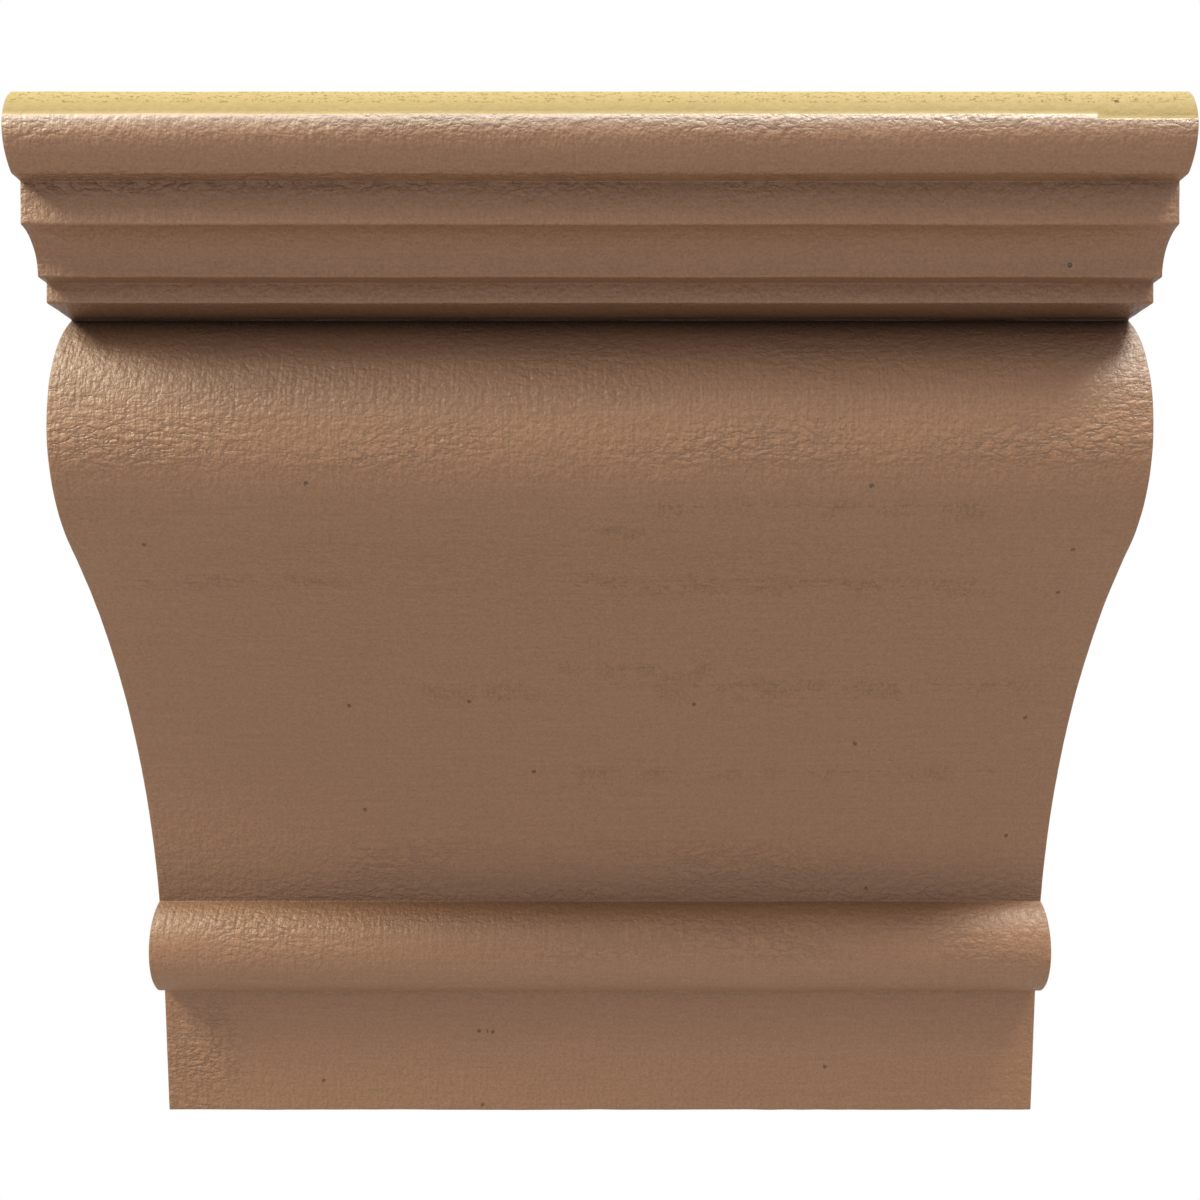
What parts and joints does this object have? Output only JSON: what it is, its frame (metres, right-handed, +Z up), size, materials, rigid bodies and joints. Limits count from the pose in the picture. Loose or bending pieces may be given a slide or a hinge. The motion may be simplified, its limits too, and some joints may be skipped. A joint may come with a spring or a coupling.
{
  "type": "corbel",
  "caption": "Cast urethane corbel with a moulded cap, an S-shaped face, a torus bead and a plinth, fixed to a wall by its flat back.",
  "frame": {"origin": "centre of the flat back face, on the wall", "axes": "+Z up, -Y out from the wall towards the front, +X across the width, to the right as seen from the front"},
  "size_m": [0.254, 0.1524, 0.254],
  "materials": {
    "painted_foam": "tan-brown paint over cast foam with a rough-sawn timber texture, a soft sheen, and bare pale-yellow foam on the top and back"
  },
  "bodies": {
    "root": {"corbel_body": "painted_foam"}
  },
  "joints": []
}
